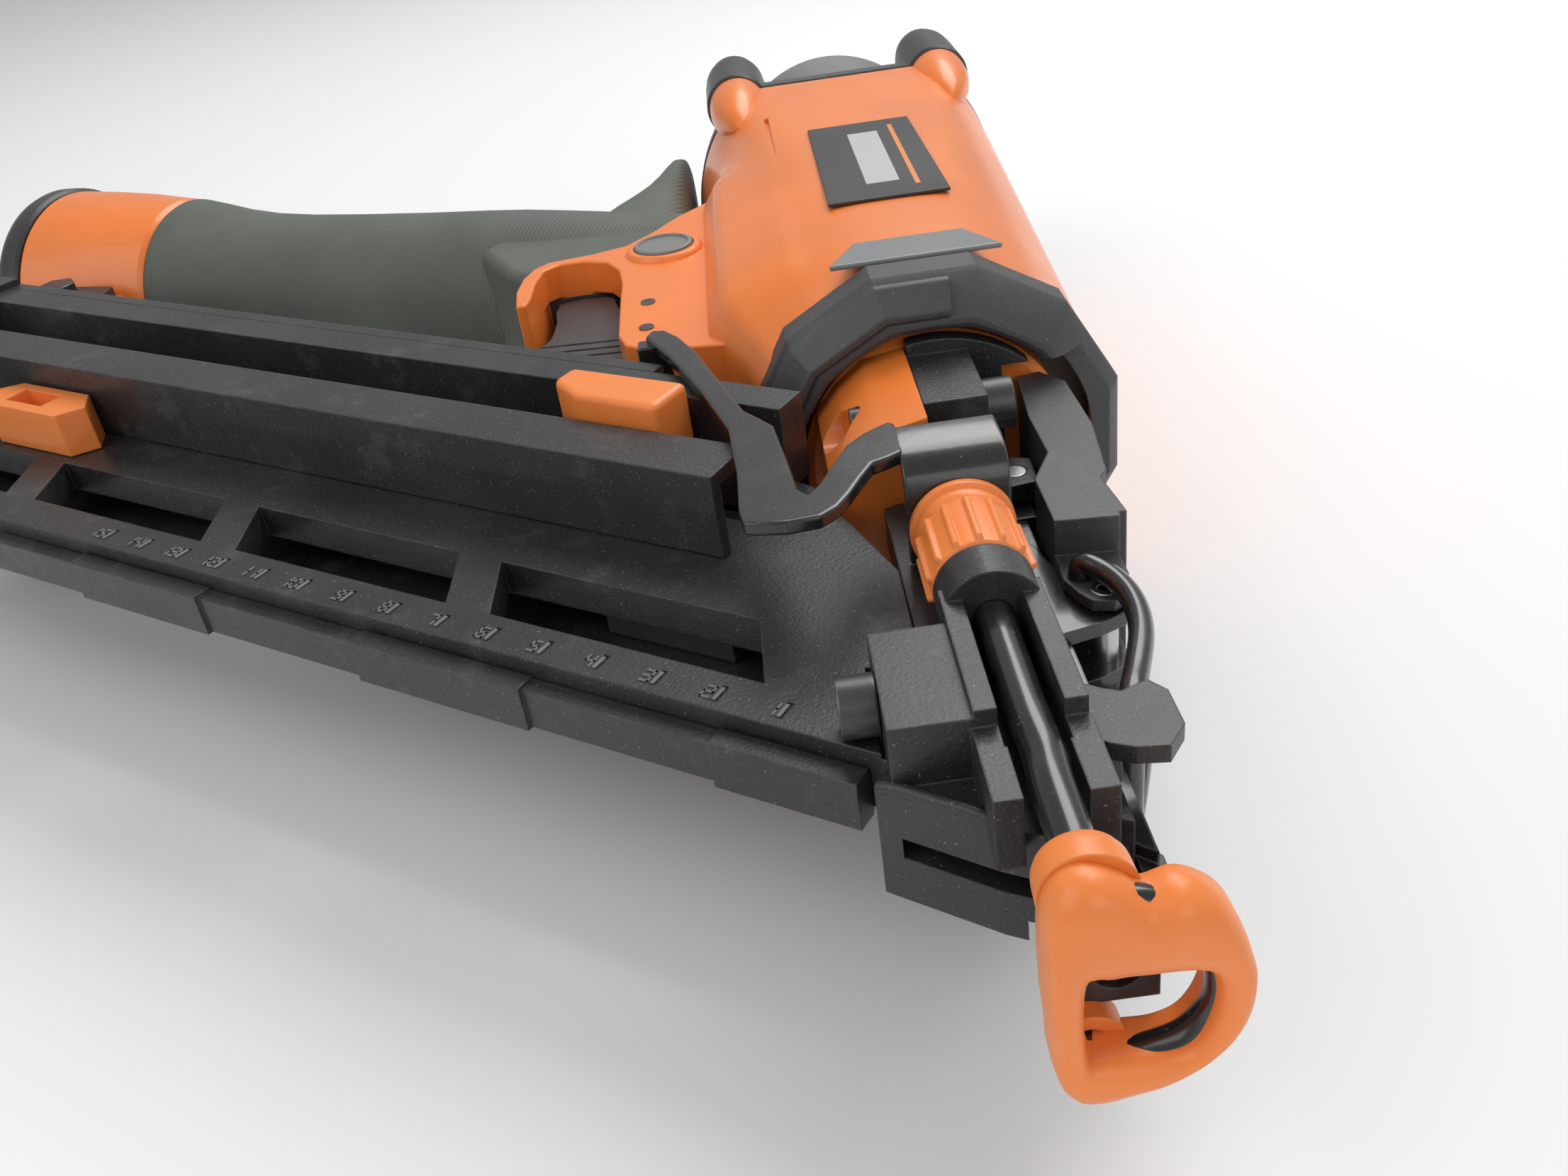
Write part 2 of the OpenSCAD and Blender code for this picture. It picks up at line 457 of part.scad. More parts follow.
module pusher() color(orange) mag() {
  linear_extrude(26.8) polygon([[56, 41.4], [72, 41.4], [80, 45.5], [80, 51.4], [56, 51.4]]);
  translate([56, 34, -2.7]) cube([24, 18, 5.4]);
}
module pusher_foot() color(orange) mag() difference() {
  translate([32, 20, -2.7]) cube([23.8, 32, 5.4]);
  translate([30, 28, -4]) cube([12, 12, 9]);
}
module pusher_spring() color(steel) mag() translate([0, 47, 0]) rotate([0, 0, -90]) spring_y(80.2,
  mag_len - 8, 1.9, 0.5, 24);
module magazine_end() color(black) mag() difference() {
  translate([mag_len + 0.2, -6, -10]) cube([8, 69, 34.4]);
  translate([mag_len - 1, 10, -4]) cube([3, 30, 8]);
  translate([mag_len - 1, 28.9, 8.8]) cube([12, 11.8, 30]);
}
module rear_bracket() color(black) difference() {
  union() {
    plates([mpt(222, 63.4), mpt(252, 63.4), hpt(222, -36), hpt(219, -27), hpt(199, -27), hpt(196, -36)],
      9.2, 12.4);
    mag() translate([222, 63.4, -12.4]) cube([30, 3, 24.8]);
  }
  bar_z(bracket_hole()[0], bracket_hole()[1], -20, 40, 3.1);
}
module bracket_bolt() color(steel) union() {
  bar_z(bracket_hole()[0], bracket_hole()[1], -12.6, 25.2, 3.05);
  bar_z(bracket_hole()[0], bracket_hole()[1], 12.6, 3.4, 5, 6);
  bar_z(bracket_hole()[0], bracket_hole()[1], -16, 3.4, 5, 6);
}
module spare_pad() color(orange) mag() difference() {
  translate([188, 19, 9.2]) linear_extrude(9) polygon([[0, 0], [24, 0], [28, 5], [24, 9.6], [2, 9.6], [-3,
    5]]);
  translate([196, 21.5, 11]) cube([12, 5, 9]);
}

housing();
cap();
cap_gasket();
cap_screws();
exhaust_deflector();
deflector_screw();
collar();
collar_inserts();
name_plate();
grip_sleeve();
end_cap();
end_cap_screws();
air_plug();
swivel_collar();
cylinder_sleeve();
cylinder_seals();
head_valve();
head_valve_spring();
piston();
piston_ring();
driver_blade();
bumper();
trigger();
yoke_pins();
pivot_disc();
valve_body();
valve_stem();
nose_casting();
neck_screws();
boss_screw();
magazine_bolts();
door();
door_pin();
latch_lever();
latch_pin();
bail_wire();
contact_bracket();
depth_knob();
contact_rod();
no_mar_pad();
contact_spring();
magazine_body();
far_rail();
lower_rail();
magazine_cover();
pusher();
pusher_foot();
pusher_spring();
magazine_end();
rear_bracket();
bracket_bolt();
spare_pad();
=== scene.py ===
import json
import math

import bmesh
import bpy
from mathutils import Matrix, Vector


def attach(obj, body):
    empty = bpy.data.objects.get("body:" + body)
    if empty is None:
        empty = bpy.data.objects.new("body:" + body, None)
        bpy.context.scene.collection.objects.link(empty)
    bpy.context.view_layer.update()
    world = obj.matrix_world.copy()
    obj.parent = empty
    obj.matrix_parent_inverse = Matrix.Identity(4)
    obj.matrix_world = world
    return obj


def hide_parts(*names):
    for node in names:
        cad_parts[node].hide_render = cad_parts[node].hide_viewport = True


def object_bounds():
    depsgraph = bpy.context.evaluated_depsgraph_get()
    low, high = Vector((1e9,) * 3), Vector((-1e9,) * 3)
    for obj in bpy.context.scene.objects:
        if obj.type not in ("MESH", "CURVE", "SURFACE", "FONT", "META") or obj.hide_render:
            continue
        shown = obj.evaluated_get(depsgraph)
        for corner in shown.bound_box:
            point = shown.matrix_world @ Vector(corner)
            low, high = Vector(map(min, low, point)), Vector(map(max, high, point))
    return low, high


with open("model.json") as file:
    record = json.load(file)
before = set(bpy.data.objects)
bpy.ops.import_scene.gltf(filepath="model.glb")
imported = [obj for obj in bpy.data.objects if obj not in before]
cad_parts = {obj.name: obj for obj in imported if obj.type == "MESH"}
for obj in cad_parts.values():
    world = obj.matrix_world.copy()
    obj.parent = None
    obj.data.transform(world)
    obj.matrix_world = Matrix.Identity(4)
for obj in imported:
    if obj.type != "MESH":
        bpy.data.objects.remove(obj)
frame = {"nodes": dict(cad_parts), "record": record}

cad_lo, cad_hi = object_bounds()
scene = bpy.context.scene
MM = 0.001
C21, S21 = math.cos(math.radians(21)), math.sin(math.radians(21))
C34, S34 = math.cos(math.radians(34)), math.sin(math.radians(34))


# ---------- places, all in millimetres ----------
def hpt(t, n, z=0.0):
    """A point t along the handle from the driver's axis, n towards the cap."""
    return (-t * C21 + n * S21, 212 + t * S21 + n * C21, z)


def mpt(m, n, z=0.0):
    """A point m along the magazine from the ruler's zero, n towards the body."""
    return (-24 - m * C34 + n * S34, 36 + m * S34 + n * C34, z)


# ---------- materials ----------
def finish(name, base, rough, metallic=0.0, var=0.1, grain=900, bump=0.12, edge=0.35, edge_to=None,
           coat=0.0, specks=0.0, ribs=None, glow=0.0, round_mm=0.45, smudge=0.5):
    """A procedural finish: mottled colour, grain, worn edges, specks of dust and optional fine ribs."""
    m = bpy.data.materials.new(name)
    m.use_nodes = True
    t = m.node_tree
    n = t.nodes
    n.clear()
    out = n.new("ShaderNodeOutputMaterial")
    p = n.new("ShaderNodeBsdfPrincipled")
    t.links.new(p.outputs[0], out.inputs[0])
    tc = n.new("ShaderNodeTexCoord")

    def noise(scale, detail=4.0, rough_=0.55):
        x = n.new("ShaderNodeTexNoise")
        x.inputs["Scale"].default_value = scale
        x.inputs["Detail"].default_value = detail
        x.inputs["Roughness"].default_value = rough_
        t.links.new(tc.outputs["Object"], x.inputs["Vector"])
        return x.outputs["Fac"]

    def math_(op, a, b=None, c=None, clamp=False):
        x = n.new("ShaderNodeMath")
        x.operation = op
        x.use_clamp = clamp
        for i, v in enumerate((a, b, c)):
            if v is None:
                continue
            if isinstance(v, (int, float)):
                x.inputs[i].default_value = v
            else:
                t.links.new(v, x.inputs[i])
        return x.outputs[0]

    def mix(fac, a, b):
        x = n.new("ShaderNodeMix")
        x.data_type = "RGBA"
        for s, v in ((x.inputs[0], fac), (x.inputs[6], a), (x.inputs[7], b)):
            if isinstance(v, (int, float)):
                s.default_value = v
            elif isinstance(v, tuple):
                s.default_value = (*v, 1.0)
            else:
                t.links.new(v, s)
        return x.outputs[2]

    def ramp(v, lo, hi):
        x = n.new("ShaderNodeMapRange")
        x.interpolation_type = "SMOOTHSTEP"
        x.inputs[1].default_value = lo
        x.inputs[2].default_value = hi
        t.links.new(v, x.inputs[0])
        return x.outputs[0]

    dark = tuple(c * (1 - var) for c in base)
    light = tuple(min(1.0, c * (1 + var)) for c in base)
    colour = mix(ramp(noise(34), 0.3, 0.7), dark, light)
    bev = n.new("ShaderNodeBevel")
    bev.samples = 6
    bev.inputs["Radius"].default_value = round_mm * MM
    geo = n.new("ShaderNodeNewGeometry")
    dot = n.new("ShaderNodeVectorMath")
    dot.operation = "DOT_PRODUCT"
    t.links.new(bev.outputs[0], dot.inputs[0])
    t.links.new(geo.outputs["Normal"], dot.inputs[1])
    worn = math_("MULTIPLY", ramp(math_("SUBTRACT", 1.0, dot.outputs["Value"]), 0.01, 0.16),
                 math_("MULTIPLY", ramp(noise(260), 0.38, 0.66), edge))
    if edge > 0:
        colour = mix(worn, colour, edge_to or tuple(min(1.0, c * 1.7 + 0.05) for c in base))
    if specks > 0:
        colour = mix(math_("MULTIPLY", ramp(noise(2300, 2.0), 0.66, 0.74), specks), colour,
                     (0.45, 0.45, 0.43))
        colour = mix(math_("MULTIPLY", ramp(noise(95, 7.0, 0.7), 0.52, 0.75), specks * 0.35), colour,
                     (0.3, 0.3, 0.29))
    t.links.new(colour, p.inputs["Base Color"])
    r = math_("ADD", math_("MULTIPLY", math_("SUBTRACT", noise(48, 6.0), 0.5), smudge * 0.4), rough,
              clamp=True)
    t.links.new(r, p.inputs["Roughness"])
    p.inputs["Metallic"].default_value = metallic
    p.inputs["Coat Weight"].default_value = coat
    p.inputs["Coat Roughness"].default_value = 0.12
    if glow > 0:
        p.inputs["Subsurface Weight"].default_value = glow
        p.inputs["Subsurface Radius"].default_value = (0.006, 0.003, 0.001)
        p.inputs["Subsurface Scale"].default_value = 0.4
    height = math_("MULTIPLY", noise(grain, 3.0), bump)
    if ribs:
        axis, pitch, deep = ribs
        d = n.new("ShaderNodeVectorMath")
        d.operation = "DOT_PRODUCT"
        t.links.new(tc.outputs["Object"], d.inputs[0])
        d.inputs[1].default_value = axis
        wave = math_("SINE", math_("MULTIPLY", d.outputs["Value"], 2 * math.pi / (pitch * MM)))
        height = math_("ADD", height, math_("MULTIPLY", wave, deep))
    b = n.new("ShaderNodeBump")
    b.inputs["Strength"].default_value = 0.6
    b.inputs["Distance"].default_value = 0.0004
    t.links.new(height, b.inputs["Height"])
    t.links.new(bev.outputs[0], b.inputs["Normal"])
    t.links.new(b.outputs[0], p.inputs["Normal"])
    return m


ORANGE = finish("orange_paint", (0.86, 0.215, 0.035), 0.36, var=0.05, grain=1500, bump=0.1, edge=0.35,
                edge_to=(0.95, 0.42, 0.16), coat=0.25, smudge=0.35)
BLACK = finish("black_cast", (0.022, 0.022, 0.024), 0.42, var=0.25, grain=1700, bump=0.35, edge=0.5,
               edge_to=(0.12, 0.12, 0.12), specks=0.35, coat=0.1)
GLOSS = finish("black_gloss", (0.012, 0.012, 0.013), 0.24, var=0.3, grain=700, bump=0.1, edge=0.7,
               edge_to=(0.3, 0.3, 0.3), specks=0.2, coat=0.5)
BUMPER = finish("bumper_plastic", (0.055, 0.056, 0.058), 0.5, var=0.15, grain=2200, bump=0.2, edge=0.3,
                specks=0.25)
GRIP = finish("grip_rubber", (0.1, 0.112, 0.094), 0.62, var=0.12, grain=1200, bump=0.15, edge=0.15,
              ribs=((-C21, S21, 0.0), 1.1, 0.22), specks=0.1)
SEAL = finish("seal_rubber", (0.02, 0.02, 0.02), 0.6)
GREY = finish("grey_plastic", (0.19, 0.195, 0.185), 0.5, var=0.1, grain=1800, bump=0.2, specks=0.15)
DARK = finish("dark_plastic", (0.05, 0.051, 0.053), 0.4, var=0.15, grain=1500, bump=0.15, edge=0.4,
              edge_to=(0.3, 0.3, 0.3), specks=0.25)
CLEAR = finish("clear_insert", (0.2, 0.205, 0.21), 0.3, var=0.1, bump=0.06, coat=0.3)
ORPLAST = finish("orange_plastic", (0.88, 0.25, 0.055), 0.36, var=0.05, grain=1300, bump=0.06,
                 edge=0.25,
                 edge_to=(1.0, 0.6, 0.3), glow=0.25)
STEEL = finish("steel", (0.55, 0.55, 0.56), 0.32, metallic=1.0, var=0.08, grain=2600, bump=0.08,
               edge=0.3)
BOLT = finish("dark_steel", (0.075, 0.075, 0.078), 0.36, metallic=0.6, var=0.2, edge=0.6,
              edge_to=(0.5, 0.5, 0.5))
ALU = finish("aluminium", (0.7, 0.7, 0.71), 0.35, metallic=1.0, var=0.06)
BRASS = finish("brass", (0.72, 0.5, 0.2), 0.3, metallic=1.0, var=0.08)
BROWN = finish("bumper_rubber", (0.06, 0.04, 0.025), 0.6)
INK = finish("ruler_ink", (0.16, 0.16, 0.16), 0.5, var=0.2, specks=0.2)


def label_finish():
    """A dark film with a pale generic bar and an orange line."""
    m = finish("label_film", (0.028, 0.028, 0.031), 0.34, var=0.2, grain=500, bump=0.03, edge=0.2)
    t = m.node_tree
    n = t.nodes
    p = next(x for x in n if x.type == "BSDF_PRINCIPLED")
    below = p.inputs["Base Color"].links[0].from_socket
    tc = next(x for x in n if x.type == "TEX_COORD")
    sep = n.new("ShaderNodeSeparateXYZ")
    t.links.new(tc.outputs["Object"], sep.inputs[0])

    def math_(op, a, b):
        x = n.new("ShaderNodeMath")
        x.operation = op
        for i, v in enumerate((a, b)):
            if isinstance(v, (int, float)):
                x.inputs[i].default_value = v
            else:
                t.links.new(v, x.inputs[i])
        return x.outputs[0]

    def inside(sock, lo, hi):
        return math_("MULTIPLY", math_("GREATER_THAN", sock, lo * MM),
                     math_("LESS_THAN", sock, hi * MM))

    pale_bar = (-3.4, 3.4, 181, 221, (0.5, 0.5, 0.5))
    thin_line = (6.2, 7.2, 177, 225, (0.8, 0.25, 0.05))
    for x0, x1, y0, y1, col in (pale_bar, thin_line):
        x = n.new("ShaderNodeMix")
        x.data_type = "RGBA"
        t.links.new(math_("MULTIPLY", inside(sep.outputs[0], x0, x1), inside(sep.outputs[1], y0, y1)),
                    x.inputs[0])
        t.links.new(below, x.inputs[6])
        x.inputs[7].default_value = (*col, 1.0)
        below = x.outputs[2]
    t.links.new(below, p.inputs["Base Color"])
    return m


LABEL = label_finish()
SLOT = {"orange_paint": ORANGE, "black_cast": BLACK, "black_gloss": GLOSS, "grip_rubber": GRIP,
        "seal_rubber": SEAL,
        "bumper_rubber": BROWN, "grey_plastic": GREY, "dark_plastic": DARK, "orange_plastic": ORPLAST,
        "label_film": LABEL, "clear_insert": CLEAR, "steel": STEEL, "dark_steel": BOLT,
        "aluminium": ALU, "brass": BRASS}


# ---------- making pieces ----------
def piece(name, verts, faces, mat, body, nodes=(), slot=None, sharp=38):
    """A mesh piece from millimetres, riding on its body and standing for its CAD nodes."""
    me = bpy.data.meshes.new(name)
    me.from_pydata([(x * MM, y * MM, z * MM) for x, y, z in verts], [], faces)
    bm = bmesh.new()
    bm.from_mesh(me)
    bmesh.ops.remove_doubles(bm, verts=bm.verts, dist=1e-7)
    bmesh.ops.recalc_face_normals(bm, faces=bm.faces)
    bm.to_mesh(me)
    bm.free()
    me.polygons.foreach_set("use_smooth", [True] * len(me.polygons))
    me.set_sharp_from_angle(angle=math.radians(sharp))
    me.materials.append(mat)
    o = bpy.data.objects.new(name, me)
    scene.collection.objects.link(o)
    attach(o, body)
    if nodes:
        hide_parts(*([nodes] if isinstance(nodes, str) else nodes))
    return o


def soften(o, width, seg=3, angle=30):
    """Rounds the sharp edges of a piece."""
    m = o.modifiers.new("round", "BEVEL")
    m.width = width * MM
    m.segments = seg
    m.limit_method = "ANGLE"
    m.angle_limit = math.radians(angle)
    m.harden_normals = True
    m.use_clamp_overlap = True
    return o


def carve(o, *cutters):
    """Cuts pieces out of o and drops them."""
    for c in cutters:
        m = o.modifiers.new("cut", "BOOLEAN")
        m.object = c
        m.operation = "DIFFERENCE"
        m.solver = "EXACT"
    bpy.context.view_layer.update()
    dg = bpy.context.evaluated_depsgraph_get()
    me = bpy.data.meshes.new_from_object(o.evaluated_get(dg))
    o.modifiers.clear()
    o.data = me
    me.polygons.foreach_set("use_smooth", [True] * len(me.polygons))
    me.set_sharp_from_angle(angle=math.radians(38))
    for c in cutters:
        bpy.data.objects.remove(c)
    return o


def prism_data(pts, z0, z1, place=lambda p: p):
    k = len(pts)
    v = [place((x, y, z0)) for x, y in pts] + [place((x, y, z1)) for x, y in pts]
    f = [tuple(range(k))[::-1], tuple(range(k, 2 * k))]
    f += [(i, (i + 1) % k, k + (i + 1) % k, k + i) for i in range(k)]
    return v, f


def prism(name, pts, z0, z1, mat, body, nodes=(), slot=None, place=lambda p: p, soft=0.0, seg=3):
    """An outline in X and Y drawn out along Z, then put in place."""
    v, f = prism_data(pts, z0, z1, place)
    o = piece(name, v, f, mat, body, nodes, slot)
    return soften(o, soft, seg) if soft else o


def xz(p):
    """Puts an outline drawn in X and Z, with its depth along Y, in place."""
    return (p[0], p[2], p[1])


def in_mag(p):
    return mpt(p[0], p[1], p[2])


def box(name, a, b, mat, body, nodes=(), slot=None, soft=0.0, place=lambda p: p):
    pts = [(a[0], a[1]), (b[0], a[1]), (b[0], b[1]), (a[0], b[1])]
    return prism(name, pts, a[2], b[2], mat, body, nodes, slot, place, soft)


def rings(name, loops, mat, body, nodes=(), slot=None, closed=False, sharp=38):
    """Skin over loops of equal count; closed joins last to first, else the ends are capped."""
    k = len(loops[0])
    v = [p for loop in loops for p in loop]
    f = []
    last = len(loops) if closed else len(loops) - 1
    for i in range(last):
        a, b = i * k, ((i + 1) % len(loops)) * k
        f += [(a + j, a + (j + 1) % k, b + (j + 1) % k, b + j) for j in range(k)]
    if not closed:
        f += [tuple(range(k))[::-1], tuple(range((len(loops) - 1) * k, len(loops) * k))]
    return piece(name, v, f, mat, body, nodes, slot, sharp)


def turned(name, profile, mat, body, nodes=(), slot=None, place=lambda r, a,
           y: (r * math.cos(a), y, r * math.sin(a)),
           count=72, closed=False, sharp=30):
    """A turned piece: profile holds (radius, distance along the axis)."""
    loops = [[place(max(r, 0.01), 2 * math.pi * i / count, y) for i in range(count)] for r,
             y in profile]
    return rings(name, loops, mat, body, nodes, slot, closed, sharp)


def about_y(cx, cz):
    return lambda r, a, y: (cx + r * math.cos(a), y, cz + r * math.sin(a))


def about_z(cx, cy):
    return lambda r, a, z: (cx + r * math.cos(a), cy + r * math.sin(a), z)


def about_x(cy, cz):
    return lambda r, a, x: (x, cy + r * math.cos(a), cz + r * math.sin(a))


def about_h(r, a, t):
    return hpt(t, r * math.cos(a), r * math.sin(a))


def smooth_path(pts, steps=6, closed=False):
    """Catmull-Rom points through pts."""
    out = []
    n = len(pts)
    rng = range(n if closed else n - 1)
    for i in rng:
        p = [Vector(pts[(i + j - 1) % n] if closed else pts[min(max(i + j - 1, 0),
                        n - 1)]) for j in range(4)]
        for s in range(steps):
            u = s / steps
            out.append(0.5 * ((2 * p[1]) + (p[2] - p[0]) * u
                              + (2 * p[0] - 5 * p[1] + 4 * p[2] - p[3]) * u * u
                              + (3 * p[1] - p[0] - 3 * p[2] + p[3]) * u ** 3))
    if not closed:
        out.append(Vector(pts[-1]))
    return out


def wire(name, pts, r, mat, body, nodes=(), slot=None, count=20, steps=6):
    """A round wire along a path, with rounded ends."""
    path = smooth_path(pts, steps)
    loops = []
    up = None
    for i, c in enumerate(path):
        d = (path[min(i + 1, len(path) - 1)] - path[max(i - 1, 0)]).normalized()
        if up is None:
            up = d.orthogonal().normalized()
        up = (up - d * up.dot(d)).normalized()
        side = d.cross(up)
        loops.append([c + (up * math.cos(2 * math.pi * j / count)
                           + side * math.sin(2 * math.pi * j / count)) * r
                      for j in range(count)])
    first = [path[0] + (p - path[0]) * 0.6 - (path[1] - path[0]).normalized() * r * 0.35
             for p in loops[0]]
    final = [path[-1] + (p - path[-1]) * 0.6 + (path[-1] - path[-2]).normalized() * r * 0.35
             for p in loops[-1]]
    return rings(name, [first] + loops + [final], mat, body, nodes, slot)


def soft_min(a, b, k):
    """The lesser of two lengths, blended where they are within k."""
    h = max(k - abs(a - b), 0.0) / k
    return min(a, b) - h * h * k * 0.25


def soft_max(a, b, k):
    return -soft_min(-a, -b, k)


def ray_to(poly, a):
    """Distance from the origin to a closed outline along angle a."""
    dx, dz = math.cos(a), math.sin(a)
    best = 0.0
    for (x1, z1), (x2, z2) in zip(poly, poly[1:] + poly[:1]):
        ex, ez = x2 - x1, z2 - z1
        den = dx * ez - dz * ex
        if abs(den) < 1e-9:
            continue
        s = (x1 * ez - z1 * ex) / den
        u = (x1 * dz - z1 * dx) / den
        if s > 0 and -1e-6 <= u <= 1 + 1e-6:
            best = max(best, s)
    return best


# ---------- carried-over CAD nodes ----------
record_slots = {s["node"]: s["material_slot"] for s in frame["record"]["subparts"]}
for node_name, o in frame["nodes"].items():
    o.data.materials.clear()
    o.data.materials.append(BUMPER if node_name == "collar" else SLOT[record_slots[node_name]])
    o.data.polygons.foreach_set("use_smooth", [True] * len(o.data.polygons))
    o.data.set_sharp_from_angle(angle=math.radians(30))

# ---------- what each group is made of: finish, body, CAD node and slot ----------
HOUSING = (ORANGE, "tool", "housing", "orange_paint")
CAP = (BLACK, "tool", "cap", "black_cast")
SLEEVE = (GRIP, "tool", "grip_sleeve", "grip_rubber")
COLLAR = (BUMPER, "tool", "collar", "black_cast")
VALVE = (DARK, "tool", "valve_body", "dark_plastic")
ARM = (GLOSS, "contact_arm", "contact_bracket", "black_gloss")
ROD = (GLOSS, "contact_foot", "contact_rod", "black_gloss")
PAD_SKIN = (ORPLAST, "contact_foot", "no_mar_pad", "orange_plastic")
PUSHER = (ORPLAST, "nail_pusher", "pusher", "orange_plastic")

# ---------- body ----------
RIB = [(-12, 31), (-22, 30.4), (-35, 25), (-39, 19), (-39, -19), (-35, -25), (-22, -30.4), (-12, -31),
       (0, -5), (0, 5)]


BODY_LOW, BODY_TOP = 130.4, 283.8
FLAT_HALF, BORE = 33, 29.5
LUG_X, LUG_Z = 27, 28.5
YOKE_HALF, FINGER_HALF = 18.6, 11
DISC_X, DISC_Y = -48, 204


def body_radius(y):
    """The body widens from its lower end to its top."""
    return 33 + 8 * (y - 130) / 154


def body_loop(y, grow=0.0, rib=1.0, count=144):
    """The body's section: a circle with two flats and a ridge at the back."""
    loop = []
    for i in range(count):
        a = 2 * math.pi * i / count
        r = body_radius(y) + grow
        r = soft_min(r, (FLAT_HALF + grow) / max(abs(math.sin(a)), 1e-3), 2.5)
        if rib > 0:
            r = soft_max(r, ray_to(RIB, a) * rib, 1.6) if ray_to(RIB, a) > 5 else r
        loop.append((r * math.cos(a), y, r * math.sin(a)))
    return loop


def circle_loop(y, r, count=144):
    """A plain circle about the driver's axis."""
    return [(r * math.cos(2 * math.pi * i / count), y,
             r * math.sin(2 * math.pi * i / count)) for i in range(count)]


outer = [body_loop(y, rib=k) for y,
         k in ((BODY_LOW, 0.78), (138, 0.84), (144, 0.93), (150, 1.0), (170, 1.0), (190, 1.0),
                                          (210, 1.0), (228, 1.0), (235, 0.97), (242, 0.9), (255, 0.8),
               (270, 0.7), (282.6, 0.7))]
outer.append(body_loop(BODY_TOP, grow=-1.1, rib=0.7))
shell = rings("body_shell", [circle_loop(BODY_LOW, BORE)] + outer + [circle_loop(BODY_TOP, BORE)],
              *HOUSING, closed=True)
grooves = [prism("groove_cut_" + str(i), [(-21.4, 137), (-19.7, 137), (-20.2, 251), (-21.2, 251)], z0,
                 z1, ORANGE, "tool")
           for i, (z0, z1) in enumerate(((31.6, 40), (-40, -31.6)))]
carve(shell, *grooves)
for i, (sx, sz) in enumerate(((1, 1), (-1, 1), (1, -1), (-1, -1))):
    cx, cz = LUG_X * sx, LUG_Z * sz
    turned(f"lug_{i}", [(0.5, 260.5), (2.6, 262.5), (4.6, 267), (6.4, 272), (7.5, 278),
                        (7.7, BODY_TOP)], *HOUSING, about_y(cx, cz), 40)
    turned(f"cap_lug_{i}", [(7.9, 284.1), (8.4, 284.8), (8.4, 303), (8.2, 309), (7.4, 314.5),
                            (6.2, 318.4), (5.2, 319.4),
                            (4.7, 319.2), (4.6, 316.5), (4.5, 315.2)], *CAP, about_y(cx, cz), 40)

cap_rings = [body_loop(284.1, grow=-0.6, rib=0.7), body_loop(284.8, grow=0.1, rib=0.7),
             body_loop(291.5, grow=-0.6, rib=0.7),
             body_loop(294, grow=-3.4, rib=0.7)]
rings("cap_plate", [circle_loop(284.1, 12)] + cap_rings + [circle_loop(295.0, 12)], *CAP, closed=True)
turned("cap_post", [(2.7, 295), (6.4, 295), (6.4, 319.8), (2.7, 319.8)], *CAP, about_y(0, 0), 40,
       closed=True)

neck = prism("neck_block", [(-4.8, 22), (-12, 20.4), (-17, 16.6), (-21, 12), (-21, -12), (-17, -16.6),
                            (-12, -20.4), (-4.8, -22)],
             94, 124, *HOUSING, xz)
hole = turned("neck_cut", [(2.6, -30), (2.6, 4)], ORANGE, "tool", place=about_x(108, 16), count=32)
dish = turned("neck_dish", [(4.4, -30), (4.4, -17.2), (2.8, -16)], ORANGE, "tool",
              place=about_x(108, 16), count=32)
soften(carve(neck, hole, dish), 1.6)
turned("neck_disc", [(5, 122.9), (22.5, 122.9), (24, 124.2), (24, 131)], *HOUSING, count=72)

YOKE = [(-30, 143), (-44, 145.5), (-51, 147), (-55, 150.5), (-56.6, 156), (-57, 176), (-57, 186),
        (-58, 195), (-61, 201.5),
        (-66, 204.4), (-72, 204.4), (-75.2, 201.5), (-76.4, 194), (-76.6, 184), (-77.4, 180.6),
        (-79.4, 180.6), (-80.3, 190),
        (-79.6, 198), (-77.8, 203.6), (-74.6, 207), (-64.5, 208.6), (-57, 211.2), (-51, 218.5),
        (-45, 228), (-38, 236), (-30, 238)]


def round_line(pts, steps=3):
    """A closed outline with its corners rounded by a spline."""
    return [(p[0], p[1]) for p in smooth_path([(x, y, 0) for x, y in pts], steps, closed=True)]


yoke = prism("yoke", YOKE, -YOKE_HALF, YOKE_HALF, *HOUSING)
carve(yoke, prism("yoke_cut", [(-42, 130), (-76.3, 130), (-76.3, 204.4), (-56, 204.4), (-42, 185)],
                  -FINGER_HALF, FINGER_HALF, ORANGE, "tool"))
soften(yoke, 1.5, 4)
for s in (1, -1):
    turned(f"disc_seat_{'ab'[s < 0]}",
           [(8.9, s * 17), (8.9, s * 18.4), (8.4, s * 19.3), (7.9, s * 19.7), (6.9, s * 19.8),
                                         (6.8, s * 19.2), (0.5, s * 19.1)], *HOUSING,
           about_z(DISC_X, DISC_Y), 56)
    turned(f"pivot_disc_{'ab'[s < 0]}",
           [(6.6, s * 19.15), (6.6, s * 20.1), (6.2, s * 20.4), (5.6, s * 20.4), (5.4, s * 19.9),
                                          (0.5, s * 19.85)], GREY, "tool", "pivot_disc",
           "grey_plastic", about_z(DISC_X, DISC_Y), 56)

# ---------- handle ----------
turned("handle_band", [(15, 193.8), (24.4, 193.8), (25.4, 195), (27.0, 208), (27.9, 220),
                       (28.4, 231.2), (28.0, 231.9), (11, 231.9)],
       *HOUSING, about_h, 96)
prism("bracket_lug", [hpt(198, -18)[:2], hpt(200, -36)[:2], hpt(203, -41)[:2], hpt(215, -41)[:2],
                      hpt(218, -36)[:2],
                      hpt(220, -18)[:2]], -9, 9, *HOUSING, soft=1.5)


def grip_loop(t, r, up, side, count=96):
    """A section of the grip: r below, up above and side across the handle's axis."""
    out = []
    for i in range(count):
        a = 2 * math.pi * i / count
        n = math.cos(a) * (up if math.cos(a) > 0 else r)
        out.append(hpt(t, n, side * math.sin(a)))
    return out


